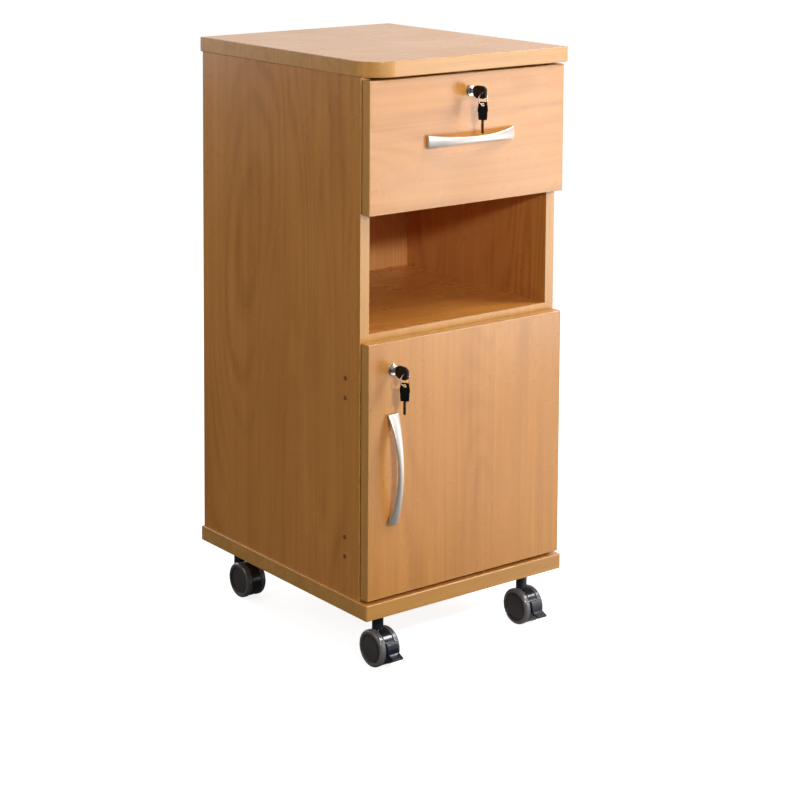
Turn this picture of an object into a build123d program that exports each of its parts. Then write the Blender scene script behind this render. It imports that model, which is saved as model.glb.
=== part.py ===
"""Bedside cabinet on four swivel casters: a board carcass with an open niche, a drawer and a hinged door.

Millimetres. +Z up, +X to the right of a person facing the door, +Y towards the back.
The origin is on the floor, under the centre of the whole cabinet.
"""
import os

from build123d import *

# --- driving dimensions of the carcass ---
carcass_width = 406.0
side_thickness = 18.0
side_depth = 443.0
side_height = 834.0
slab_thickness = 25.0
top_overhang_side = 1.2
top_overhang_front = 28.0
top_overhang_back = 5.0
top_left_corner_radius = 46.0
top_right_corner_radius = 3.0
base_overhang_side = 3.5
base_overhang_front = 24.0
base_overhang_back = 3.0
base_corner_radius = 3.0
back_thickness = 18.0
niche_depth = 366.0
edging_thickness = 2.0
shelf_thickness = 18.0
shelf_top = 453.5
divider_bottom = 648.0

# --- fronts: heights are above the underside of the base slab ---
front_thickness = 18.0
front_gap = 2.8
front_inset = 1.2
door_bottom = 30.5
door_top = 442.0
drawer_front_bottom = 644.5
drawer_front_top = 855.0

# --- locks and keys ---
key_reach = 38.0
lock_case_size = 40.0
lock_case_depth = 12.0
lock_barrel_radius = 7.8
lock_flange_radius = 9.2
plug_radius = 6.0
bolt_travel = 8.0
ring_radius = 9.0
ring_wire_radius = 0.7
ring_eye_drop = 1.0
ring_forward = 30.8
door_lock_x = -154.0
door_lock_height = 397.0
drawer_lock_height = 826.0
key_bow_start = 9.0
spare_key_turn = -50.0
strike_thickness = 2.0

# --- handles ---
handle_length = 176.0
handle_end_width = 21.7
handle_waist_width = 10.0
handle_rise = 27.0
handle_end_rise = 5.6
handle_band = 4.6
handle_hole_pitch = 160.0
door_handle_x = -155.0
door_handle_height = 237.4
drawer_handle_height = 751.5

# --- door hinges, on the 32 mm hole system ---
hinge_heights = (104.7, 362.5)
hole_spacing = 32.0
hole_setback = 37.0
cup_radius = 17.5
cup_depth = 11.5
cup_edge_distance = 4.0
door_pivot_inset = 7.0
door_pivot_depth = 11.5

# --- drawer box and its telescopic slides ---
slide_length = 340.0
slide_height = 45.0
slide_gap = 12.7
slide_sheet = 1.2
slide_level = 757.0
box_board = 14.0
box_depth = 345.0
box_bottom_level = 686.0
box_top_level = 806.0
hardboard = 3.0

# --- casters ---
caster_height = 92.0
caster_inset_side = 53.0
caster_inset_end = 38.5
wheel_radius = 30.0
wheel_width = 10.2
wheel_gap = 0.4
tread_thickness = 6.0
hood_width = 18.4
braked_trail = 5.0
plain_trail = 25.0
pedal_pin_depth = 8.0
pedal_pin_drop = 2.0
plate_size = 44.0
plate_thickness = 3.0

# --- worked out from the above ---
half_width = carcass_width / 2
inner_half = half_width - side_thickness
carcass_front = (front_gap + front_thickness + key_reach - side_depth - top_overhang_back) / 2
front_rear_face = carcass_front - front_gap
front_face = front_rear_face - front_thickness
base_level = caster_height
side_level = base_level + slab_thickness
top_level = side_level + side_height
front_half = half_width - front_inset
door_pivot_x = front_half - door_pivot_inset
door_pivot_y = carcass_front - door_pivot_depth


def block(x, y, z):
    """A box between the given pairs of x, y and z limits."""
    size = Box(x[1] - x[0], y[1] - y[0], z[1] - z[0], align=(Align.MIN, Align.MIN, Align.MIN))
    return Pos(x[0], y[0], z[0]) * size


def rod_x(radius, x, y, z):
    return Pos((x[0] + x[1]) / 2, y, z) * Rot(0, 90, 0) * Cylinder(radius, x[1] - x[0])


def rod_y(radius, x, y, z):
    return Pos(x, (y[0] + y[1]) / 2, z) * Rot(90, 0, 0) * Cylinder(radius, y[1] - y[0])


def rod_z(radius, x, y, z):
    return Pos(x, y, (z[0] + z[1]) / 2) * Cylinder(radius, z[1] - z[0])


def save(name, *shapes):
    """Write one node: a single solid, or a group of separate solids."""
    solids = [solid for shape in shapes for solid in shape.solids()]
    body = solids[0] if len(solids) == 1 else Compound(children=solids)
    export_step(body, f"parts/{name}.step")


def rounded_edges(shape, radius, axis=Axis.Z):
    """Round the edges that run along an axis."""
    return fillet(shape.edges().filter_by(axis), radius)


# --- carcass -------------------------------------------------------------

def slab(side, front, back, level, left_corner, right_corner):
    """A horizontal slab as its core board and the edging that runs round it."""
    x = (-half_width - side, half_width + side)
    y = (carcass_front - front, carcass_front + side_depth + back)
    whole = block(x, y, (level, level + slab_thickness))
    for side_end, corner in ((0, left_corner), (-1, right_corner)):
        front_corner = whole.edges().filter_by(Axis.Z).group_by(Axis.X)[side_end].sort_by(Axis.Y)[0]
        whole = fillet(front_corner, corner)
    outline = whole.faces().sort_by(Axis.Z)[0]
    core_outline = offset(outline, -edging_thickness)
    core = extrude(core_outline, slab_thickness, dir=(0, 0, 1))
    ring = whole - core
    outer = ring.faces().filter_by(Axis.Z).sort_by(Axis.Z)
    rims = outer[0].outer_wire().edges() + outer[-1].outer_wire().edges()
    return core, fillet(rims, 1.2)


def dowel_lines():
    """Every dowel as its axis name, its centre and its two board joints."""
    depths = (60.0, niche_depth - 60.0)
    places = []
    for side in (-1, 1):
        for level in (base_level + shelf_top - shelf_thickness / 2, base_level + divider_bottom + shelf_thickness / 2):
            for depth in depths:
                places.append(("x", side * inner_half, carcass_front + depth, level))
        for level in (side_level, top_level):
            for depth in depths:
                places.append(("z", side * (half_width - side_thickness / 2), carcass_front + depth, level))
    return places


def dowels(radius, length):
    """All the carcass dowels, or the holes for them, at the given size."""
    rods = []
    for axis, x, y, z in dowel_lines():
        if axis == "x":
            centre = x - 3.0 if x > 0 else x + 3.0
            rods.append(rod_x(radius, (centre - length / 2, centre + length / 2), y, z))
        else:
            rods.append(rod_z(radius, x, y, (z - length / 2, z + length / 2)))
    return rods


def cut(shape, tools):
    for tool in tools:
        shape = shape - tool
    return shape


def system_holes(radius, x):
    """The pairs of hinge plate holes, 32 mm apart, through one x range."""
    rods = []
    for height in hinge_heights:
        for step in (-0.5, 0.5):
            level = base_level + height + step * hole_spacing
            rods.append(rod_x(radius, x, carcass_front + hole_setback, level))
    return rods


def carcass():
    holes = dowels(4.05, 31.0)
    top_core, top_edging = slab(
        top_overhang_side, top_overhang_front, top_overhang_back, top_level,
        top_left_corner_radius, top_right_corner_radius)
    base_core, base_edging = slab(
        base_overhang_side, base_overhang_front, base_overhang_back, base_level,
        base_corner_radius, base_corner_radius)
    save("top_panel", cut(top_core, holes))
    save("top_panel_edging", top_edging)
    save("base_panel", cut(base_core, holes + plate_screws(2.0)))
    save("base_panel_edging", base_edging)
    y = (carcass_front + edging_thickness, carcass_front + side_depth)
    z = (side_level, top_level)
    strip = (carcass_front, carcass_front + edging_thickness)
    left = block((-half_width, -inner_half), y, z)
    right = block((inner_half, half_width), y, z)
    save("left_side_panel", cut(left, holes + system_holes(2.5, (-half_width - 1, -inner_half + 1))))
    save("right_side_panel", cut(right, holes + system_holes(2.5, (inner_half - 1, inner_half + 12))))
    save("side_hole_plugs", *plugs())
    shelf_level = base_level + shelf_top - shelf_thickness
    shelf_z = (shelf_level, base_level + shelf_top)
    inner = (-inner_half, inner_half)
    shelf_y = (strip[1], carcass_front + niche_depth)
    divider_z = (base_level + divider_bottom, base_level + divider_bottom + shelf_thickness)
    save("niche_shelf", cut(block(inner, shelf_y, shelf_z), holes))
    save("drawer_divider", cut(block(inner, shelf_y, divider_z), holes))
    save("carcass_edging",
         block((-half_width, -inner_half), strip, z),
         block((inner_half, half_width), strip, z),
         block(inner, strip, shelf_z),
         block(inner, strip, divider_z))
    back_y = (carcass_front + niche_depth, carcass_front + niche_depth + back_thickness)
    save("back_panel", block(inner, back_y, z))
    save("carcass_dowels", *dowels(4.0, 30.0))


def plugs():
    """Caps that close the unused hinge holes from the outside of the left panel."""
    caps = system_holes(2.4, (-half_width, -half_width + 8.0))
    heads = system_holes(3.6, (-half_width - 0.6, -half_width))
    return [cap + head for cap, head in zip(caps, heads)]


# --- fronts ----------------------------------------------------------------

def front_board(bottom, top):
    """A front as its core board and the edging round its four sides."""
    x = (-front_half, front_half)
    y = (front_face, front_rear_face)
    z = (base_level + bottom, base_level + top)
    t = edging_thickness
    whole = block(x, y, z)
    core = block((x[0] + t, x[1] - t), y, (z[0] + t, z[1] - t))
    ring = whole - core
    rims = ring.faces().filter_by(Axis.Y).sort_by(Axis.Y)[0].outer_wire().edges()
    return core, fillet(rims, 1.0)


def handle():
    """A bow handle that lies along X, with its back on y = 0 and its bow towards -Y."""
    half = handle_length / 2
    end = handle_end_width / 2
    waist = handle_waist_width / 2
    outline = make_face(Wire([
        ThreePointArc((-half, end), (0, waist), (half, end)),
        ThreePointArc((half, end), (half + 1.2, 0), (half, -end)),
        ThreePointArc((half, -end), (0, -waist), (-half, -end)),
        ThreePointArc((-half, -end), (-half - 1.2, 0), (-half, end))]))
    plan = Rot(90, 0, 0) * extrude(outline, handle_rise + 1)
    reach = half + 2
    outer_end = handle_end_rise - 0.5
    inner_end = outer_end - handle_band
    inner_rise = handle_rise - handle_band
    band = make_face(Wire([
        ThreePointArc((-reach, -outer_end), (0, -handle_rise), (reach, -outer_end)),
        Line((reach, -outer_end), (reach, -inner_end)),
        ThreePointArc((reach, -inner_end), (0, -inner_rise), (-reach, -inner_end)),
        Line((-reach, -inner_end), (-reach, -outer_end))]))
    bow = plan & extrude(band, handle_end_width, both=True)
    bow = fillet(bow.edges().filter_by(lambda e: e.length > 100), 1.4)
    feet = [rod_y(4.5, side * handle_hole_pitch / 2, (-6.0, 0), 0) for side in (-1, 1)]
    for foot in feet:
        bow = bow + foot
    holes = [rod_y(2.05, side * handle_hole_pitch / 2, (-4.5, 1), 0) for side in (-1, 1)]
    return cut(bow, holes)


def handle_screw_holes(place, radius):
    """Screw shanks through a front for one handle placed by a location."""
    rods = []
    for side in (-1, 1):
        rods.append(place * rod_y(radius, side * handle_hole_pitch / 2, (0, front_thickness), 0))
    return rods


def handle_screws(place):
    """Pan head machine screws from the back of a front into the handle feet."""
    screws = []
    for side in (-1, 1):
        x = side * handle_hole_pitch / 2
        shank = rod_y(1.95, x, (-4.0, front_thickness), 0)
        head = rod_y(4.0, x, (front_thickness, front_thickness + 2.4), 0)
        screws.append(place * (shank + head))
    return screws


# --- locks: built with the barrel on the y axis and the bolt along +Z --------

def lock_case():
    depth = front_thickness
    half = lock_case_size / 2
    case = block((-half, half), (depth, depth + lock_case_depth), (-half, half))
    case = rounded_edges(case, 2.0, Axis.Y)
    case += rod_y(lock_barrel_radius, 0, (-1.0, depth + 1), 0)
    flange = rod_y(lock_flange_radius, 0, (-3.2, 0), 0)
    case += chamfer(flange.edges().sort_by(Axis.Y)[0], 1.0)
    case -= rod_y(plug_radius + 0.08, 0, (-4, depth + 4.2), 0)
    case -= block((-9.3, 9.3), (depth + 4.0, depth + 9.6), (-9.0, half + 1))
    return case


def lock_plug(turn):
    """The plug, with an upright key slot and the drive pin that moves the bolt."""
    depth = front_thickness
    plug = rod_y(plug_radius, 0, (-4.2, depth + 3.0), 0)
    plug += turn * rod_y(1.4, -3.8, (depth + 2.0, depth + 8.0), 0)
    return plug - block((-1.2, 1.2), (-5, 14.0), (-4.1, 4.1))


def lock_bolt():
    depth = front_thickness
    half = lock_case_size / 2
    bolt = block((-9.0, 9.0), (depth + 4.3, depth + 9.3), (-8.7, half))
    return bolt - block((-6.5, 6.5), (depth + 4, depth + 10), (-6.4, 3.0))


def key_head_outline(width, length):
    """A bow with chamfered shoulders, from x = 0 to x = length, centred on y = 0."""
    half = width / 2
    narrow = half * 0.62
    points = [(0, -narrow), (length * 0.28, -half), (length * 0.8, -half), (length, -narrow),
              (length, narrow), (length * 0.8, half), (length * 0.28, half), (0, narrow)]
    return make_face(Polyline(*points, close=True))


def key_in_lock():
    """The key that stands in the lock, its bow moulded on the blade: it lies in the y-z plane."""
    bow = extrude(key_head_outline(20.0, key_reach - key_bow_start), 2.1, both=True)
    bow = fillet(bow.edges().filter_by(Axis.Z), 1.4)
    bow = Pos(0, -key_bow_start, 0) * Rot(0, 90, 0) * Rot(0, 0, -90) * bow
    bow -= rod_x(2.8, (-4, 4), -ring_forward, -ring_eye_drop + 0.4)
    return bow + block((-1.05, 1.05), (-key_bow_start - 1.0, 13.0), (-3.9, 3.9))


def key_ring():
    centre = -ring_eye_drop - ring_radius
    return Pos(0, -ring_forward, centre) * Rot(90, 0, 0) * Torus(ring_radius, ring_wire_radius)


def spare_place():
    """Where the spare key hangs: its eye on the lowest point of the ring, turned about Z."""
    eye = -ring_eye_drop - 2 * ring_radius
    return Pos(0, -ring_forward, eye) * Rot(0, 0, spare_key_turn)


def spare_key_head():
    """A bow above a narrower collar, with a small step between them."""
    outline = make_face(Polyline(
        (-6.2, 4.4), (-8.0, -7.0), (-8.0, -11.0), (-7.0, -13.0), (-7.4, -16.0), (-6.4, -24.6),
        (6.4, -24.6), (7.4, -16.0), (7.0, -13.0), (8.0, -11.0), (8.0, -7.0), (6.2, 4.4), close=True))
    bow = extrude(outline, 1.5, both=True)
    bow = Rot(90, 0, 0) * fillet(bow.edges().filter_by(Axis.Z), 0.8)
    bow -= rod_y(3.0, 0, (-3, 3), -0.2)
    bow -= block((-2.3, 2.3), (-1.0, 1.0), (-25.0, -17.0))
    return spare_place() * bow


def spare_key_blade():
    """A flat blade with a pointed tip and shallow cuts along one side."""
    outline = make_face(Polyline(
        (-2.2, -17.2), (2.2, -17.2), (2.2, -44.5), (0.4, -47.0), (-2.2, -45.0), close=True))
    blade = Rot(90, 0, 0) * extrude(outline, 0.9, both=True)
    notches = [block((1.3, 3.0), (-1, 1), (-42.5 + 4 * i, -40.5 + 4 * i)) for i in range(4)]
    return spare_place() * cut(blade, notches)


def strike(reach):
    """An angle plate: one leg on the board above, one leg hanging in front of the bolt."""
    flat = block((-19.0, 19.0), (-reach, 18.0), (-strike_thickness, 0))
    lip = block((-19.0, 19.0), (0, 1.4), (-9.5, 0))
    return cut(flat + lip, [rod_z(1.8, side * 12.0, 11.0, (-strike_thickness - 1, 1)) for side in (-1, 1)])


def lock_parts(prefix, place, turn):
    """One front's lock and keys: place is the front face, turn points the bolt."""
    save(f"{prefix}_lock_case", place * turn * lock_case())
    save(f"{prefix}_lock_bolt", place * turn * lock_bolt())
    save(f"{prefix}_lock_plug", place * lock_plug(turn))
    save(f"{prefix}_key", place * key_in_lock())
    save(f"{prefix}_key_ring", place * key_ring())
    save(f"{prefix}_spare_key_head", place * spare_key_head())
    save(f"{prefix}_spare_key_blade", place * spare_key_blade())


# --- door ---------------------------------------------------------------------

def hinge_centres():
    x = front_half - cup_edge_distance - cup_radius
    return [(x, base_level + height) for height in hinge_heights]


def hinge_cup(x, z):
    y = front_rear_face
    cup = rod_y(cup_radius, x, (y - cup_depth, y + 0.2), z)
    flange = block((x - 12.0, x + 13.0), (y, y + 1.0), (z - 30.0, z + 30.0))
    cup += rounded_edges(flange, 6.0, Axis.Y)
    cup -= block((x - 14.0, x + 13.0), (y - cup_depth + 1.2, y + 2), (z - 9.5, z + 9.5))
    screws = [rod_y(2.2, x - 6.0, (y - 1, y + 2), z + side * 24.0) for side in (-1, 1)]
    return cut(cup, screws)


def hinge_arm(z):
    """The arm and its nose, fixed to the right side panel on a mounting plate."""
    x = (inner_half - 13.0, inner_half - 2.0)
    nose = block(x, (carcass_front - 10.0, carcass_front + 6.0), (z - 8.0, z + 8.0))
    arm = block(x, (carcass_front + 6.0, carcass_front + 58.0), (z - 8.0, z + 8.0))
    body = fillet((nose + arm).edges().filter_by(Axis.Z), 2.0)
    channel_y = (carcass_front - 8.6, carcass_front + 60.0)
    channel = block((inner_half - 11.6, inner_half - 1), channel_y, (z - 6.6, z + 6.6))
    plate_y = (carcass_front + hole_setback - 9.0, carcass_front + hole_setback + 9.0)
    plate = block((inner_half - 2.0, inner_half), plate_y, (z - 26.0, z + 26.0))
    plate = rounded_edges(plate, 4.0, Axis.X)
    spine = block((inner_half - 12.0, inner_half - 2.0), (plate_y[0], plate_y[1] + 8), (z - 5.5, z + 5.5))
    body = (body - channel) + plate + spine
    for side in (-0.5, 0.5):
        level = z + side * hole_spacing
        body += rod_x(4.5, (inner_half - 3.4, inner_half - 2), carcass_front + hole_setback, level)
        body += rod_x(2.4, (inner_half - 2, inner_half + 11), carcass_front + hole_setback, level)
    return body


def door():
    core, edging = front_board(door_bottom, door_top)
    lock_place = Pos(door_lock_x, front_face, base_level + door_lock_height)
    grip_place = Pos(door_handle_x, front_face, base_level + door_handle_height) * Rot(0, 90, 0)
    for x, z in hinge_centres():
        core -= rod_y(cup_radius + 0.1, x, (front_rear_face - cup_depth - 0.3, front_rear_face + 1), z)
    core -= lock_place * rod_y(lock_barrel_radius + 0.1, 0, (-1, front_thickness + 1), 0)
    save("door_panel", cut(core, handle_screw_holes(grip_place, 2.3)))
    save("door_edging", edging)
    save("door_handle", grip_place * handle())
    save("door_handle_screws", *handle_screws(grip_place))
    save("hinge_cups", *[hinge_cup(x, z) for x, z in hinge_centres()])
    save("hinge_arms", *[hinge_arm(z) for x, z in hinge_centres()])
    lock_parts("door", lock_place, Rot(0, -90, 0))


# --- drawer ---------------------------------------------------------------------

def slide_profile(height, web, lip, side):
    """A C channel along Y: its web and lip are x distances from a side panel's inner face."""
    y = (carcass_front + 2.0, carcass_front + 2.0 + slide_length)
    z = (base_level + slide_level - height / 2, base_level + slide_level + height / 2)
    low, high = sorted((web, lip))
    shell = block((low, high), y, z)
    inner_low = low + slide_sheet if web < lip else low - 1
    inner_high = high + 1 if web < lip else high - slide_sheet
    hollow = block((inner_low, inner_high), (y[0] - 1, y[1] + 1), (z[0] + slide_sheet, z[1] - slide_sheet))
    channel = Pos(-inner_half, 0, 0) * (shell - hollow)
    return channel if side < 0 else mirror(channel, Plane.YZ)


def drawer_box():
    """Two sides, a back and a bottom that hang behind the drawer front."""
    half = inner_half - slide_gap
    y = (front_rear_face, front_rear_face + box_depth)
    z = (base_level + box_bottom_level, base_level + box_top_level)
    left = block((-half, -half + box_board), y, z)
    right = block((half - box_board, half), y, z)
    back = block((-half + box_board, half - box_board), (y[1] - box_board, y[1]), z)
    bottom = block((-half, half), y, (z[0] - hardboard, z[0]))
    save("drawer_box_sides", left, right)
    save("drawer_box_back", back)
    save("drawer_bottom", bottom)


def drawer():
    core, edging = front_board(drawer_front_bottom, drawer_front_top)
    lock_place = Pos(0, front_face, base_level + drawer_lock_height)
    grip_place = Pos(0, front_face, base_level + drawer_handle_height)
    core -= lock_place * rod_y(lock_barrel_radius + 0.1, 0, (-1, front_thickness + 1), 0)
    save("drawer_front", cut(core, handle_screw_holes(grip_place, 2.3)))
    save("drawer_front_edging", edging)
    save("drawer_handle", grip_place * handle())
    save("drawer_handle_screws", *handle_screws(grip_place))
    drawer_box()
    sides = (-1, 1)
    save("drawer_slide_outer", *[slide_profile(slide_height, 0, 9.0, side) for side in sides])
    save("drawer_slide_middle", *[slide_profile(slide_height - 4, 2.6, 8.6, side) for side in sides])
    save("drawer_slide_inner", *[slide_profile(slide_height - 8, slide_gap, 5.0, side) for side in sides])
    lock_parts("drawer", lock_place, Rot(0, 0, 0))


def strikes():
    door_place = Pos(-inner_half, carcass_front, base_level + door_lock_height) * Rot(0, -90, 0)
    drawer_place = Pos(0, carcass_front, top_level)
    save("lock_strikes", door_place * strike(0), drawer_place * strike(8.0))


# --- casters: built round the swivel axis, with z = 0 on the floor --------------------

def caster_places():
    """Every caster's swivel axis on the base slab."""
    x = half_width + base_overhang_side - caster_inset_side
    front = carcass_front - base_overhang_front + caster_inset_end
    back = carcass_front + side_depth + base_overhang_back - caster_inset_end
    return {"front_left": (-x, front), "front_right": (x, front), "rear_left": (-x, back), "rear_right": (x, back)}


def plate_corners():
    reach = plate_size / 2 - 6.0
    return [(a * reach, b * reach) for a in (-1, 1) for b in (-1, 1)]


def plate_screws(radius):
    """Screw shanks, or their pilot holes, up through every caster plate."""
    rods = []
    for x, y in caster_places().values():
        for a, b in plate_corners():
            rods.append(rod_z(radius, x + a, y + b, (base_level - plate_thickness, base_level + 16.0)))
    return rods


def plate_screw_heads():
    level = base_level - plate_thickness
    return [rod_z(3.6, x + a, y + b, (level - 2.0, level))
            for x, y in caster_places().values() for a, b in plate_corners()]


def caster_plate():
    """The fixed plate, with the swivel stud that hangs below it."""
    level = caster_height
    half = plate_size / 2
    plate = block((-half, half), (-half, half), (level - plate_thickness, level))
    plate = rounded_edges(plate, 5.0)
    plate = cut(plate, [rod_z(2.2, a, b, (level - 5, level + 1)) for a, b in plate_corners()])
    return plate + rod_z(4.0, 0, 0, (level - 20.0, level - plate_thickness))


def hood(trail, braked):
    """The swivel body between the two wheels, with its neck up to the plate."""
    half = hood_width / 2
    top = caster_height - plate_thickness - 0.5
    body = rod_x(wheel_radius - 0.3, (-half, half), -trail, wheel_radius)
    body = fillet(body.edges(), 1.0)
    neck = rod_z(9.2, 0, 0, (wheel_radius + 12.0, top))
    collar = rod_z(11.5, 0, 0, (top - 4.0, top))
    clear_level = 2 * wheel_radius + 1.0
    low_neck = neck & block((-half, half), (-30, 30), (0, clear_level))
    high_neck = neck & block((-12, 12), (-12, 12), (clear_level, caster_height))
    body = body + low_neck + high_neck + collar
    body -= rod_z(4.06, 0, 0, (caster_height - 21.0, caster_height))
    body -= rod_x(3.06, (-20, 20), -trail, wheel_radius)
    body -= block((-half - 1, half + 1), (-trail - 40, 30), (-1, 6.0))
    if braked:
        face = -trail - wheel_radius
        body -= block((-3.2, 3.2), (face - 1, face + 13.5), (wheel_radius - 11.0, wheel_radius + 6.0))
        body -= rod_x(1.56, (-20, 20), face + pedal_pin_depth, wheel_radius - pedal_pin_drop)
    return body


def wheel_sides():
    """The inner and outer x of each wheel, as side, lower x and higher x."""
    inner = hood_width / 2 + wheel_gap
    outer = inner + wheel_width
    return [(-1, -outer, -inner), (1, inner, outer)]


def wheel_hubs(trail):
    """Both dished wheel discs on the axle that they turn with."""
    outer = wheel_sides()[1][2]
    hub_radius = wheel_radius - tread_thickness
    hubs = rod_x(3.0, (-outer + 2, outer - 2), -trail, wheel_radius)
    for side, low, high in wheel_sides():
        disc = rod_x(hub_radius, (low, high), -trail, wheel_radius)
        rim = disc.faces().sort_by(Axis.X)[0 if side < 0 else -1].edges()
        disc = fillet(rim, 1.0)
        dish = sorted((side * (outer - 1.2), side * (outer + 1)))
        disc -= rod_x(hub_radius - 4.0, dish, -trail, wheel_radius)
        hubs += disc
    return hubs


def tyres(trail):
    """A soft tread with a round shoulder on each wheel disc."""
    rings = []
    for side, low, high in wheel_sides():
        tread = rod_x(wheel_radius, (low, high), -trail, wheel_radius)
        faces = tread.faces().filter_by(Axis.X).sort_by(Axis.X)
        shoulder = faces[0 if side < 0 else -1].edges()
        tread = fillet(shoulder, 4.6)
        rings.append(tread - rod_x(wheel_radius - tread_thickness, (low - 1, high + 1), -trail, wheel_radius))
    return rings


def brake_pedal():
    """A toe lever across the front of the wheels, on a lug that pivots in the hood."""
    y = -braked_trail
    z = wheel_radius
    band_x = (-7.8, 13.5)
    toe_x = (-5.5, 14.0)
    band = rod_x(wheel_radius + 2.8, band_x, y, z)
    band -= rod_x(wheel_radius + 0.9, (band_x[0] - 1, band_x[1] + 1), y, z)
    band &= block((-20, 20), (y - 40, y - 20), (z - 6.0, z + 14.5))
    profile = make_face(Polyline(
        (y - 31.4, z - 3.0), (y - 43.8, z - 8.2), (y - 43.4, z - 10.8), (y - 31.2, z - 6.0), close=True))
    toe = Pos(toe_x[0], 0, 0) * extrude(Plane.YZ * profile, toe_x[1] - toe_x[0])
    lug = block((-2.8, 2.8), (y - 31.6, y - 19.5), (z - 6.0, z + 2.0))
    pin = rod_x(1.5, (-6.3, 6.3), y - wheel_radius + pedal_pin_depth, z - pedal_pin_drop)
    return band + toe + lug + pin


def casters():
    plates = []
    for name, (x, y) in caster_places().items():
        place = Pos(x, y, 0)
        braked = name.startswith("front")
        trail = braked_trail if braked else plain_trail
        plates.append(place * caster_plate())
        save(f"caster_{name}_hood", place * hood(trail, braked))
        save(f"caster_{name}_hubs", place * wheel_hubs(trail))
        save(f"caster_{name}_tyres", *[place * ring for ring in tyres(trail)])
        if braked:
            save(f"caster_{name}_pedal", place * brake_pedal())
    save("caster_plates", *plates)
    save("caster_plate_screws", *[
        shank + head for shank, head in zip(plate_screws(1.9), plate_screw_heads())])


os.makedirs("parts", exist_ok=True)
carcass()
door()
drawer()
strikes()
casters()
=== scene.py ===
"""Looks of the bedside cabinet: materials, finer meshes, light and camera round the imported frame."""
import math

import bmesh
import bpy
from mathutils import Matrix, Vector


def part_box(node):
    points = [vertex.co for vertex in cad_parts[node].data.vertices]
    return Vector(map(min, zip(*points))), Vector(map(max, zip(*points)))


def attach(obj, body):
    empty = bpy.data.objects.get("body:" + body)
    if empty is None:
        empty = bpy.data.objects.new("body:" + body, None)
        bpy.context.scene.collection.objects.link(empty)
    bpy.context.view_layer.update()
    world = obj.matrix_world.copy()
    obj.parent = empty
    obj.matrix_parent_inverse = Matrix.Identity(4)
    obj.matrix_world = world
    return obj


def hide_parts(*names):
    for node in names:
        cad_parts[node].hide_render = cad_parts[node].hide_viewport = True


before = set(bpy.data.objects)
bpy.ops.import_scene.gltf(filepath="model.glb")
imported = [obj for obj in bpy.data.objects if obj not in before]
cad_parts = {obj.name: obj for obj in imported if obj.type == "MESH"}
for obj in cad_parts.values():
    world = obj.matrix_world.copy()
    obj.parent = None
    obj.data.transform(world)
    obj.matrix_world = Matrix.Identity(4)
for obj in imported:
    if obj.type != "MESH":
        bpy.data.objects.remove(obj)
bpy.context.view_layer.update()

MM = 0.001
CASTERS = ("front_left", "front_right", "rear_left", "rear_right")
BRAKED = ("front_left", "front_right")
LOCKS = ("door", "drawer")
FRONTS = {"door": "door_panel", "drawer": "drawer_front"}

# handles: the narrow middle stands proud and the wide ends are low
HANDLE_WAIST_HALF = 5.0 * MM
HANDLE_END_RISE = 6.2 * MM
HANDLE_THICKNESS = 4.4 * MM
HANDLE_CROWN = 1.7 * MM
HANDLE_FOOT_REACH = 80.0 * MM
KEY_BLADE_REACH = 9.3 * MM

# casters: distances across a wheel are measured from the middle of its caster
WHEEL_INNER_FACE = 9.65 * MM
AXLE_RADIUS = 3.0 * MM
TREAD_DEPTH = 6.0 * MM
TREAD_SHOULDER = 4.6 * MM
PEDAL_BAND_RADIUS = 32.75 * MM
RIB_COUNT = 9
RIB_MARGIN = 2.0 * MM
RIB_HALF_WIDTH = 0.55 * MM
RIB_HEIGHT = 0.55 * MM
RIB_SINK = 0.1 * MM

SHARP_EDGE = math.radians(38.0)
JOIN_DISTANCE = 0.03 * MM
FLOOR_HALF = 60.0
CAMERA_PLACE = (-2.162, -2.7405, 1.3529)
CAMERA_SHIFT = {"shift_x": 0.1202, "shift_y": -0.4573}


# --- node helpers ---------------------------------------------------------

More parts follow.
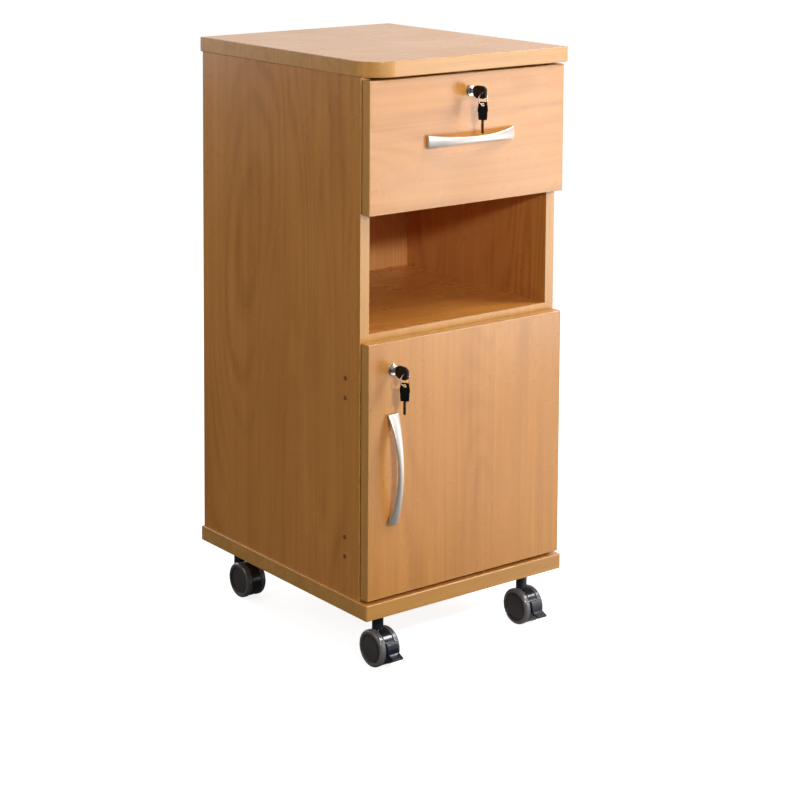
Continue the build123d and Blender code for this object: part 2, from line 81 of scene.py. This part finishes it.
class Shader:
    """A material's node tree, built by short calls."""

    def __init__(self, name):
        self.material = bpy.data.materials.new(name)
        self.material.use_nodes = True
        self.tree = self.material.node_tree
        self.tree.nodes.clear()

    def node(self, kind, inputs=None, **settings):
        made = self.tree.nodes.new("ShaderNode" + kind)
        for key, value in settings.items():
            setattr(made, key, value)
        for key, value in (inputs or {}).items():
            self.feed(made.inputs[key], value)
        return made

    def feed(self, socket, value):
        """Links another node's output to a socket, or sets the socket to a plain value."""
        if isinstance(value, bpy.types.NodeSocket):
            self.tree.links.new(value, socket)
        else:
            socket.default_value = value

    def math(self, operation, a, b=0.0, c=0.0):
        return self.node("Math", {0: a, 1: b, 2: c}, operation=operation).outputs[0]

    def place(self, scale, offset=(0.0, 0.0, 0.0)):
        """The piece's own coordinates in metres, stretched by scale."""
        source = self.node("TexCoord").outputs["Object"]
        inputs = {"Vector": source, "Scale": scale, "Location": offset}
        return self.node("Mapping", inputs).outputs[0]

    def part_of_place(self, axis):
        """One of the piece's own coordinates, in metres."""
        return self.node("SeparateXYZ", {0: self.place(even(1.0))}).outputs["XYZ".index(axis)]

    def noise(self, vector, detail=3.0, roughness=0.55, distortion=0.0):
        made = self.node("TexNoise", {
            "Vector": vector, "Scale": 1.0, "Detail": detail,
            "Roughness": roughness, "Distortion": distortion})
        return made.outputs["Fac"]

    def ramp(self, value, low, high, bottom=0.0, top=1.0):
        made = self.node("MapRange", {
            "Value": value, "From Min": low, "From Max": high, "To Min": bottom, "To Max": top})
        made.clamp = True
        return made.outputs[0]

    def spread(self, value, bottom=0.0, top=1.0):
        """A noise value, which keeps near its middle, stretched over a whole range."""
        return self.ramp(value, 0.3, 0.7, bottom, top)

    def mix(self, factor, a, b, blend="MIX"):
        made = self.node("Mix", data_type="RGBA", blend_type=blend)
        for index, value in ((0, factor), (6, a), (7, b)):
            self.feed(made.inputs[index], value)
        return made.outputs[2]

    def bump(self, height, distance, strength=1.0, rounding=0.0006):
        """Surface relief on top of a slight rounding of every sharp edge."""
        soft = self.node("Bevel", {"Radius": rounding}, samples=4).outputs[0]
        inputs = {"Height": height, "Distance": distance, "Strength": strength, "Normal": soft}
        return self.node("Bump", inputs).outputs[0]

    def finish(self, **inputs):
        """The surface shader, whose inputs are given by name with _ for a space."""
        named = {key.replace("_", " "): value for key, value in inputs.items()}
        surface = self.node("BsdfPrincipled", named)
        output = self.node("OutputMaterial")
        self.tree.links.new(surface.outputs[0], output.inputs[0])
        return self.material


def colour(red, green, blue):
    return (red, green, blue, 1.0)


def along(axis, cross, length):
    """A texture scale: cross per metre across the grain and length per metre along it."""
    return tuple(length if axis == name else cross for name in "XYZ")


def even(scale):
    """A texture scale that is the same in every direction."""
    return (scale, scale, scale)


# --- materials ------------------------------------------------------------------

def beech(name, axis, pale, deep, seed, figure=1.0):
    """Beech pattern laminate: arched growth lines, fine streaks, short dark flecks, a low satin sheen."""
    s = Shader(name)
    shift = (seed * 1.37, seed * 0.71, seed * 2.03)
    broad = s.noise(s.place(along(axis, cross=4.2, length=0.75), shift), detail=1.5, distortion=0.25)
    streak = s.noise(s.place(along(axis, cross=260.0, length=3.2), shift), detail=4.0, roughness=0.62)
    band = s.noise(s.place(along(axis, cross=55.0, length=1.2), shift))
    cloud = s.noise(s.place(along(axis, cross=9.0, length=3.4), shift))
    tone = growth_lines(s, axis, broad, shift, 0.36 * figure)
    for layer, weight in ((streak, 0.36), (band, 0.24), (cloud, 0.26)):
        tone = s.math("MULTIPLY_ADD", s.spread(layer), weight, tone)
    base = s.mix(tone, pale, deep)
    speckle = s.noise(s.place(along(axis, cross=1100.0, length=85.0), shift), detail=1.0)
    dark = s.mix(1.0, base, colour(0.66, 0.55, 0.46), "MULTIPLY")
    base = s.mix(s.ramp(speckle, 0.63, 0.75, 0.0, 0.3), base, dark)
    rough = s.spread(s.noise(s.place(even(9.0), shift)), 0.25, 0.31)
    pores = s.noise(s.place(along(axis, cross=130.0, length=6.0), shift), detail=0.0)
    relief = s.bump(pores, distance=0.03 * MM, strength=0.2)
    return s.finish(Base_Color=base, Roughness=rough, Normal=relief, Specular_IOR_Level=0.95)


def growth_lines(s, axis, broad, shift, weight):
    """Narrow dark lines along the level curves of a broad noise, fading in and out along the board."""
    wave = s.math("SINE", s.math("MULTIPLY", broad, 210.0))
    ring = s.math("MULTIPLY_ADD", wave, 0.5, 0.5)
    patch = s.noise(s.place(along(axis, cross=7.0, length=1.6), shift), detail=2.0)
    arch = s.math("MULTIPLY", s.math("POWER", ring, 2.2), s.ramp(patch, 0.42, 0.62))
    return s.math("MULTIPLY", arch, weight)


def edge_strip(name, axis, pale, deep, seed, side_axis=None):
    """Plastic edge strip printed with straight fine grain, which may turn where it faces sideways."""
    s = Shader(name)
    shift = (seed * 0.9, seed * 1.9, seed * 0.4)
    line = s.noise(s.place(along(axis, cross=420.0, length=5.0), shift), detail=4.0, roughness=0.62)
    if side_axis:
        turned = s.place(along(side_axis, cross=300.0, length=9.0), shift)
        line = s.mix(sideways(s), line, s.noise(turned, detail=4.0, roughness=0.62))
    band = s.noise(s.place(along(axis, cross=60.0, length=2.0), shift), detail=2.0)
    tone = s.math("MULTIPLY_ADD", s.spread(line), 0.55, s.spread(band, 0.0, 0.45))
    wear = s.ramp(s.noise(s.place(even(60.0), shift), detail=4.0), 0.62, 0.8, 0.0, 0.18)
    base = s.mix(wear, s.mix(tone, pale, deep), pale)
    rough = s.spread(line, 0.26, 0.34)
    relief = s.bump(line, distance=0.1 * MM, strength=0.3)
    return s.finish(Base_Color=base, Roughness=rough, Normal=relief, Specular_IOR_Level=0.95)


def sideways(s):
    """1 on faces that look left or right and 0 on those that look to the front or back."""
    normal = s.node("NewGeometry").outputs["True Normal"]
    return s.ramp(s.math("ABSOLUTE", s.node("SeparateXYZ", {0: normal}).outputs[0]), 0.5, 0.7)


def moulded(name, shade, rough, grain=900.0, relief=0.12 * MM, dust=0.0, shine=0.5, mottle=0.6):
    """Moulded plastic or rubber: a fine moulded skin, uneven gloss, and dust where it is asked for."""
    s = Shader(name)
    skin_grain = s.noise(s.place(even(grain)), detail=2.0)
    cloud = s.noise(s.place(even(45.0)), detail=4.0)
    lighter = s.mix(1.0, shade, colour(1.35, 1.33, 1.3), "MULTIPLY")
    base = s.mix(s.ramp(cloud, 0.35, 0.7, 0.0, mottle), shade, lighter)
    base = s.mix(s.ramp(cloud, 0.5, 0.75, 0.0, dust), base, colour(0.3, 0.28, 0.25))
    gloss = s.spread(cloud, rough - 0.05, rough + 0.08)
    bumps = s.bump(skin_grain, relief, strength=0.5)
    return s.finish(Base_Color=base, Roughness=gloss, Normal=bumps, Specular_IOR_Level=shine)


def metal(name, shade, rough, spots=0.0, share=1.0):
    """Plated or lacquered metal: a fine skin, smudges and small dull spots."""
    s = Shader(name)
    smudge = s.noise(s.place(even(70.0)), detail=4.0)
    dull = s.ramp(s.noise(s.place(even(260.0)), detail=2.0), 0.58, 0.75, 0.0, spots)
    base = s.mix(dull, shade, s.mix(1.0, shade, colour(0.6, 0.58, 0.55), "MULTIPLY"))
    gloss = s.math("MULTIPLY_ADD", dull, 0.25, s.spread(smudge, rough - 0.05, rough + 0.07))
    skin_grain = s.noise(s.place(even(900.0)), detail=2.0)
    relief = s.bump(skin_grain, distance=0.04 * MM, strength=0.35)
    return s.finish(Base_Color=base, Metallic=share, Roughness=gloss, Normal=relief)


def key_moulding(lock):
    """Black moulded bow, and the plated blade where it enters the lock."""
    s = Shader(f"{lock}_key_black")
    bow_start = front_plane(lock) - KEY_BLADE_REACH
    blade = s.ramp(s.part_of_place("Y"), bow_start, bow_start + 0.2 * MM)
    skin_grain = s.noise(s.place(even(1500.0)), detail=2.0)
    black = s.mix(skin_grain, colour(0.003, 0.003, 0.003), colour(0.008, 0.008, 0.009))
    base = s.mix(blade, black, colour(0.70, 0.68, 0.64))
    rough = s.spread(skin_grain, 0.38, 0.5)
    relief = s.bump(skin_grain, distance=0.06 * MM, strength=0.4)
    return s.finish(Base_Color=base, Metallic=blade, Roughness=rough, Normal=relief, Specular_IOR_Level=0.2)


def paint(material, *names):
    for name in names:
        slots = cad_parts[name].data.materials
        slots.clear()
        slots.append(material)


def paint_boards():
    pale, deep = colour(0.74, 0.325, 0.070), colour(0.48, 0.178, 0.027)
    # The right side and the back are lighter and the drawer a little darker than the other boards: painted
    # light in the niche and painted shade on the drawer front. The door's colours are bluer for a painted
    # whitish sheen.
    right_lit_pale = colour(0.79, 0.36, 0.09)
    back_lit_pale, back_lit_deep = colour(0.84, 0.42, 0.15), colour(0.56, 0.24, 0.06)
    drawer_shaded_pale = colour(0.705, 0.318, 0.074)
    door_sheen_pale, door_sheen_deep = colour(0.72, 0.332, 0.086), colour(0.47, 0.185, 0.036)
    paint(beech("beech_left", "Z", pale, deep, seed=1.0), "left_side_panel")
    paint(beech("beech_right_painted_light", "Z", right_lit_pale, deep, seed=2.0), "right_side_panel")
    paint(beech("beech_back_painted_light", "Z", back_lit_pale, back_lit_deep, seed=3.0), "back_panel")
    paint(beech("beech_shelf", "X", pale, deep, seed=4.0), "niche_shelf", "drawer_divider")
    paint(beech("beech_drawer_painted_shade", "X", drawer_shaded_pale, deep, seed=5.0), "drawer_front")
    paint(beech("beech_door_painted_sheen", "Z", door_sheen_pale, door_sheen_deep, seed=6.0), "door_panel")
    paint(beech("beech_top", "X", pale, deep, seed=7.0, figure=0.3), "top_panel")
    paint(beech("beech_base", "X", pale, deep, seed=8.0, figure=0.3), "base_panel")


def paint_edges():
    pale, deep = colour(0.68, 0.345, 0.090), colour(0.50, 0.235, 0.048)
    # The top strip is a lighter copy of the other strips: painted light for the bright front edge of the
    # top.
    top_lit_pale = colour(0.74, 0.37, 0.105)
    paint(edge_strip("edge_top", "X", top_lit_pale, deep, seed=1.0, side_axis="Z"), "top_panel_edging")
    paint(edge_strip("edge_base", "X", pale, deep, seed=2.0), "base_panel_edging")
    paint(edge_strip("edge_carcass", "Z", pale, deep, seed=3.0), "carcass_edging")
    paint(edge_strip("edge_door", "Z", pale, deep, seed=4.0), "door_edging")
    paint(edge_strip("edge_drawer", "Z", pale, deep, seed=5.0), "drawer_front_edging")


def paint_locks_and_handles(zinc):
    nickel = metal("nickel", colour(0.78, 0.77, 0.75), 0.16, spots=0.3)
    satin = metal("satin_lacquer", colour(0.80, 0.745, 0.70), 0.42, spots=0.1, share=0.75)
    worn = metal("worn_key_steel", colour(0.22, 0.155, 0.10), 0.33, spots=0.5)
    black = moulded("black_plastic", colour(0.005, 0.005, 0.005), 0.42, shine=0.2)
    for lock in LOCKS:
        paint(key_moulding(lock), f"{lock}_key")
        paint(satin, f"{lock}_handle")
        paint(zinc, f"{lock}_handle_screws", f"{lock}_lock_bolt")
        paint(nickel, f"{lock}_lock_case", f"{lock}_lock_plug", f"{lock}_key_ring")
        paint(worn, f"{lock}_spare_key_blade")
        paint(black, f"{lock}_spare_key_head")
        bow_handle(lock, satin)


def paint_fittings():
    zinc = metal("zinc_steel", colour(0.60, 0.61, 0.63), 0.34, spots=0.5)
    caps = moulded("brown_caps", colour(0.19, 0.07, 0.018), 0.6)
    melamine = moulded("white_melamine", colour(0.80, 0.79, 0.75), 0.4, 500.0, 0.06 * MM, mottle=0.08)
    hardboard = moulded("white_hardboard", colour(0.74, 0.72, 0.68), 0.5, 300.0, 0.1 * MM, mottle=0.08)
    dowels = beech("bare_beech", "X", colour(0.7, 0.5, 0.3), colour(0.55, 0.36, 0.2), seed=9.0)
    paint(zinc, "hinge_arms", "hinge_cups", "lock_strikes", "caster_plate_screws")
    paint(zinc, "drawer_slide_outer", "drawer_slide_middle", "drawer_slide_inner")
    paint(caps, "side_hole_plugs")
    paint(melamine, "drawer_box_sides", "drawer_box_back")
    paint(hardboard, "drawer_bottom")
    paint(dowels, "carcass_dowels")
    paint_locks_and_handles(zinc)


def paint_casters():
    body = moulded("caster_body", colour(0.013, 0.016, 0.028), 0.2, relief=0.04 * MM, shine=0.9)
    hub = moulded("caster_hub", colour(0.062, 0.055, 0.055), 0.42, dust=0.05)
    tread = moulded("caster_tread", colour(0.145, 0.146, 0.148), 0.24, 1400.0, dust=0.04, shine=1.0)
    plate = metal("caster_plate", colour(0.10, 0.10, 0.11), 0.4)
    for name in CASTERS:
        paint(body, f"caster_{name}_hood")
        paint(hub, f"caster_{name}_hubs")
        paint(tread, f"caster_{name}_tyres")
        wheel_pair(name, hub, tread)
    for name in BRAKED:
        paint(body, f"caster_{name}_pedal")
        pedal_ribs(name, body)
    paint(plate, "caster_plates")


# --- finer meshes ----------------------------------------------------------------

def new_piece(name, build, material, body, slot, *replaced):
    """Turns a bmesh into a smooth shaded piece that rides on a body and stands for CAD nodes."""
    bmesh.ops.recalc_face_normals(build, faces=build.faces)
    mesh = bpy.data.meshes.new(name)
    build.to_mesh(mesh)
    build.free()
    mesh.materials.append(material)
    mesh.shade_smooth()
    mesh.set_sharp_from_angle(angle=SHARP_EDGE)
    made = bpy.data.objects.new(name, mesh)
    bpy.context.scene.collection.objects.link(made)
    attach(made, body)
    if replaced:
        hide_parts(*replaced)


def node_box(name):
    """The lowest corner, the highest corner and the centre of a CAD node."""
    low, high = (Vector(corner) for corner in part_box(name))
    return low, high, (low + high) / 2


def front_plane(lock):
    """The y of the front face that a lock and its handle sit on."""
    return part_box(FRONTS[lock])[0][1]


def skin(build, rings, hollow=False):
    """Bridges equally long vertex loops with quads; then caps both ends, or joins them when hollow."""
    count = len(rings[0])
    following = rings[1:] + rings[:1] if hollow else rings[1:]
    for first, second in zip(rings, following):
        for k in range(count):
            after = (k + 1) % count
            build.faces.new((first[k], first[after], second[after], second[k]))
    if not hollow:
        build.faces.new(rings[0])
        build.faces.new(rings[-1][::-1])


def circle(build, place, first, second, radius, steps):
    """A loop of vertices round place, in the plane of two unit vectors."""
    ring = []
    for k in range(steps):
        angle = 2 * math.pi * k / steps
        offset = first * math.cos(angle) + second * math.sin(angle)
        ring.append(build.verts.new(place + offset * radius))
    return ring


def lathe(build, profile, centre, steps=96, hollow=False):
    """Turns (x, radius) points round the X axis through centre; x counts from the centre."""
    rings = []
    for x, radius in profile:
        place = centre + Vector((x, 0, 0))
        rings.append(circle(build, place, Vector((0, 1, 0)), Vector((0, 0, 1)), radius, steps))
    skin(build, rings, hollow)
    bmesh.ops.remove_doubles(build, verts=build.verts, dist=JOIN_DISTANCE)


def arc(centre, radius, start, end, steps):
    """Points on an arc in the lathe's (x, radius) plane; angles in degrees from the outward X axis."""
    points = []
    for k in range(steps + 1):
        angle = math.radians(start + (end - start) * k / steps)
        points.append((centre[0] + radius * math.cos(angle), centre[1] + radius * math.sin(angle)))
    return points


def bow_handle(lock, material):
    """A crowned satin bow: wide and low at both ends, narrow and proud in the middle."""
    node = f"{lock}_handle"
    low, high, centre = node_box(node)
    size = high - low
    lengthwise, across = Vector((0, 0, 1)), Vector((1, 0, 0))
    if size.x > size.z:
        lengthwise, across = across, lengthwise
    back = Vector((centre.x, front_plane(lock), centre.z))
    half, end_half = max(size.x, size.z) / 2, min(size.x, size.z) / 2
    rise = back.y - low.y
    stations = 80
    build = bmesh.new()
    rings = []
    for k in range(stations + 1):
        t = math.sin(math.pi * (k / stations - 0.5))
        rounding = (max(0.0, abs(t) - 0.985) / 0.015) ** 3
        width = (HANDLE_WAIST_HALF + (end_half - HANDLE_WAIST_HALF) * t * t) * (1.0 - 0.06 * rounding)
        top = rise - (rise - HANDLE_END_RISE) * t * t - 0.5 * MM * rounding
        reach = back + lengthwise * half * t
        outline = handle_outline(width, top)
        rings.append([build.verts.new(reach + across * a - Vector((0, b, 0))) for a, b in outline])
    skin(build, rings)
    for side in (-1, 1):
        add_foot(build, back + lengthwise * side * HANDLE_FOOT_REACH)
    new_piece(f"{node}_bow", build, material, lock, "satin_metal", node)


def handle_outline(width, top):
    """The handle cut across: a crowned face with soft corners, and a hollow back a little narrower."""
    points = []
    face_steps, back_steps = 12, 8
    for k in range(face_steps + 1):
        u = math.cos(math.pi * k / face_steps)
        drop = HANDLE_CROWN * (0.75 * u ** 2 + 0.25 * u ** 6) + 0.6 * MM * u ** 14
        points.append((u * width, top - drop))
    for k in range(back_steps + 1):
        u = -math.cos(math.pi * k / back_steps)
        points.append((u * width * 0.965, top - HANDLE_THICKNESS + 1.0 * MM * (1 - u * u)))
    return points


def add_foot(build, place):
    """The round foot that a screw pulls against the front, with a small flare at its base."""
    rings = []
    for depth, radius in ((0.05, 5.3), (0.9, 5.2), (1.6, 4.6), (2.6, 4.4), (8.2, 4.4)):
        middle = place - Vector((0, depth * MM, 0))
        rings.append(circle(build, middle, Vector((1, 0, 0)), Vector((0, 0, 1)), radius * MM, 28))
    skin(build, rings)


def cover_profile(half, wheel_radius):
    """A wheel cover cut along its axle: rounded rim, a groove inside it, and a slightly domed face."""
    radius = wheel_radius - TREAD_DEPTH
    points = [(WHEEL_INNER_FACE, AXLE_RADIUS - 0.1 * MM)]
    points += [(WHEEL_INNER_FACE, radius - 0.5 * MM), (WHEEL_INNER_FACE + 0.5 * MM, radius)]
    points += arc((half - 1.1 * MM, radius - 0.5 * MM), 0.5 * MM, 90.0, 0.0, 4)
    points += arc((half - 0.6 * MM, radius - 1.4 * MM), 0.8 * MM, -180.0, -90.0, 5)
    face_radius = radius - 2.4 * MM
    steps = 9
    for k in range(steps):
        dome = 1.2 * MM * math.sin(math.pi / 2 * k / steps)
        points.append((half - 1.9 * MM + dome, face_radius * (1 - k / steps)))
    points.append((half - 0.7 * MM, 0.01 * MM))
    return points


def tread_profile(half, radius):
    """A tread cut along the axle: rounded inner corner, a fine groove, and a wide outer shoulder."""
    points = [(WHEEL_INNER_FACE, radius - 5.9 * MM), (WHEEL_INNER_FACE, radius - 0.7 * MM)]
    points += arc((WHEEL_INNER_FACE + 0.7 * MM, radius - 0.7 * MM), 0.7 * MM, 180.0, 90.0, 4)[1:]
    for across, depth in ((2.2, 0.0), (2.5, 0.25), (2.8, 0.0)):
        points.append((WHEEL_INNER_FACE + across * MM, radius - depth * MM))
    points += arc((half - TREAD_SHOULDER, radius - TREAD_SHOULDER), TREAD_SHOULDER, 90.0, 8.0, 14)
    points.append((half - 0.6 * MM, radius - 5.95 * MM))
    return points


def wheel_pair(name, hub_material, tread_material):
    """Both wheels of one caster: a cover with a groove round it, inside a ring of soft tread."""
    low, high, centre = node_box(f"caster_{name}_tyres")
    half, radius = (high.x - low.x) / 2, (high.z - low.z) / 2
    axle_half = half - 2.0 * MM
    covers, treads = bmesh.new(), bmesh.new()
    lathe(covers, [(-axle_half, AXLE_RADIUS), (axle_half, AXLE_RADIUS)], centre, steps=24)
    for side in (-1, 1):
        lathe(covers, [(side * x, r) for x, r in cover_profile(half, radius)], centre)
        lathe(treads, [(side * x, r) for x, r in tread_profile(half, radius)], centre, hollow=True)
    body = f"wheels_{name}"
    new_piece(f"caster_{name}_wheel_covers", covers, hub_material, body, "caster_hub",
              f"caster_{name}_hubs")
    new_piece(f"caster_{name}_treads", treads, tread_material, body, "caster_tread",
              f"caster_{name}_tyres")


def pedal_ribs(name, material):
    """Small grip ribs side by side on the curved band of a brake pedal."""
    low, high, _ = node_box(f"caster_{name}_pedal")
    axle = node_box(f"caster_{name}_tyres")[2]
    first, last = low.x + RIB_MARGIN, high.x - RIB_MARGIN
    build = bmesh.new()
    for k in range(RIB_COUNT):
        add_rib(build, axle, first + (last - first) * k / (RIB_COUNT - 1))
    new_piece(f"caster_{name}_pedal_ribs", build, material, f"pedal_{name}", "caster_body")


def add_rib(build, axle, x):
    """One rib that follows the pedal's band round the axle and sinks into it at both ends."""
    lowest, span, steps = 14.0, 11.0, 6
    rings = []
    for step in range(steps + 1):
        angle = math.radians(lowest + span * step / steps)
        out = Vector((0, -math.cos(angle), math.sin(angle)))
        foot = axle + out * (PEDAL_BAND_RADIUS - RIB_SINK)
        foot.x = x
        lift = out * RIB_HEIGHT * math.sin(math.pi * step / steps) ** 0.5
        ring = []
        for across, raised in ((-1.0, 0), (-0.5, 1), (0.5, 1), (1.0, 0)):
            ring.append(build.verts.new(foot + Vector((across * RIB_HALF_WIDTH, 0, 0)) + lift * raised))
        rings.append(ring)
    skin(build, rings)


# --- stage -------------------------------------------------------------------------

def by_ray(tree, kind, chosen, other):
    """Shows one shader to one kind of ray and the other shader to the rest."""
    path = tree.nodes.new("ShaderNodeLightPath")
    mix = tree.nodes.new("ShaderNodeMixShader")
    tree.links.new(path.outputs[kind], mix.inputs[0])
    tree.links.new(other, mix.inputs[1])
    tree.links.new(chosen, mix.inputs[2])
    return mix.outputs[0]


def floor():
    mesh = bpy.data.meshes.new("floor")
    build = bmesh.new()
    bmesh.ops.create_grid(build, x_segments=2, y_segments=2, size=FLOOR_HALF)
    build.to_mesh(mesh)
    build.free()
    made = bpy.data.objects.new("floor", mesh)
    bpy.context.scene.collection.objects.link(made)
    mesh.materials.append(pale_floor())


def pale_floor():
    """White to the camera, dim to the light it would bounce, and bright in reflections on the right."""
    s = Shader("pale_floor")
    tone = s.noise(s.place(even(1.5)), detail=2.0)
    shade = s.mix(tone, colour(0.60, 0.60, 0.60), colour(0.64, 0.64, 0.635))
    matt = s.node("BsdfDiffuse", {"Color": shade}).outputs[0]
    glow = s.node("Emission", {"Color": colour(1.0, 1.0, 1.0), "Strength": 0.86}).outputs[0]
    seen = s.node("AddShader", {0: matt, 1: glow}).outputs[0]
    dim = s.node("BsdfDiffuse", {"Color": colour(0.30, 0.265, 0.22)}).outputs[0]
    # To reflection rays the floor glows, more towards the right: a painted reflection that lays a whitish
    # sheen on the fronts.
    glint = s.ramp(s.part_of_place("X"), 0.0, 0.6, 0.05, 1.25)
    mirrored = s.node("Emission", {"Color": colour(1.0, 0.97, 0.94), "Strength": glint}).outputs[0]
    unseen = by_ray(s.tree, "Is Glossy Ray", mirrored, dim)
    output = s.node("OutputMaterial")
    s.tree.links.new(by_ray(s.tree, "Is Camera Ray", seen, unseen), output.inputs[0])
    return s.material


def area_light(name, position, target, width, height, power):
    data = bpy.data.lights.new(name, "AREA")
    data.shape = "ELLIPSE"
    data.size = width
    data.size_y = height
    data.energy = power
    made = bpy.data.objects.new(name, data)
    made.location = position
    made.rotation_euler = (Vector(target) - Vector(position)).to_track_quat("-Z", "Y").to_euler()
    made.visible_camera = False
    bpy.context.scene.collection.objects.link(made)


def lights():
    fronts, sides = (0.0, -0.2, 0.6), (-0.2, 0.0, 0.7)
    area_light("key", (-0.55, -2.05, 1.46), fronts, width=0.16, height=0.16, power=23.8)
    area_light("right", (1.14, -1.42, 0.58), fronts, width=0.8, height=0.95, power=5.8)
    area_light("left", (-2.5, 0.3, 1.9), sides, width=1.4, height=1.4, power=12.0)
    area_light("above", (1.5, -1.0, 2.2), (0.0, -0.1, 0.7), width=1.1, height=0.8, power=43.0)
    area_light("back", (-0.9, 2.9, 1.3), (0.0, 0.2, 0.5), width=2.6, height=1.9, power=24.0)


def studio_world():
    """White to the camera; a weak warm fill elsewhere that grows towards the far right."""
    world = bpy.data.worlds.new("studio")
    world.use_nodes = True
    bpy.context.scene.world = world
    tree = world.node_tree
    tree.nodes.clear()
    way = tree.nodes.new("ShaderNodeTexCoord").outputs["Generated"]
    facing = tree.nodes.new("ShaderNodeVectorMath")
    facing.operation = "DOT_PRODUCT"
    facing.inputs[1].default_value = Vector((0.6, 0.8, 0.25)).normalized()
    tree.links.new(way, facing.inputs[0])
    glow = tree.nodes.new("ShaderNodeMapRange")
    glow.interpolation_type = "SMOOTHSTEP"
    tree.links.new(facing.outputs["Value"], glow.inputs["Value"])
    for key, value in (("From Min", 0.5), ("From Max", 1.0), ("To Min", 0.13), ("To Max", 1.05)):
        glow.inputs[key].default_value = value
    seen = tree.nodes.new("ShaderNodeBackground")
    seen.inputs[0].default_value = colour(1.0, 1.0, 1.0)
    fill = tree.nodes.new("ShaderNodeBackground")
    fill.inputs[0].default_value = colour(1.0, 0.97, 0.92)
    tree.links.new(glow.outputs[0], fill.inputs[1])
    output = tree.nodes.new("ShaderNodeOutputWorld")
    tree.links.new(by_ray(tree, "Is Camera Ray", seen.outputs[0], fill.outputs[0]), output.inputs[0])
    bpy.context.scene.view_settings.view_transform = "Standard"


def camera():
    """The product view: a shifted lens keeps the upright edges nearly parallel."""
    data = bpy.data.cameras.new("camera")
    data.sensor_width = 36.0
    data.lens = 94.7
    yaw, pitch, roll = math.radians(36.01), math.radians(5.95), math.radians(-0.07)
    forward = Vector((math.sin(yaw) * math.cos(pitch), math.cos(yaw) * math.cos(pitch), -math.sin(pitch)))
    turn = forward.to_track_quat("-Z", "Y") @ Matrix.Rotation(-roll, 4, "Z").to_quaternion()
    made = bpy.data.objects.new("camera", data)
    made.location = CAMERA_PLACE
    made.rotation_euler = turn.to_euler()
    bpy.context.scene.collection.objects.link(made)
    bpy.context.scene.camera = made
    shift_lens(made)


def shift_lens(made):
    """Shifts the lens only while the camera is in its own place, so that other views stay centred."""
    for name, amount in CAMERA_SHIFT.items():
        driver = made.data.driver_add(name).driver
        driver.type = "SCRIPTED"
        variable = driver.variables.new()
        variable.name = "x"
        variable.targets[0].id = made
        variable.targets[0].data_path = "location[0]"
        driver.expression = f"{amount} if abs(x - ({CAMERA_PLACE[0]})) < 0.001 else 0.0"


paint_boards()
paint_edges()
paint_fittings()
paint_casters()
floor()
lights()
studio_world()
camera()
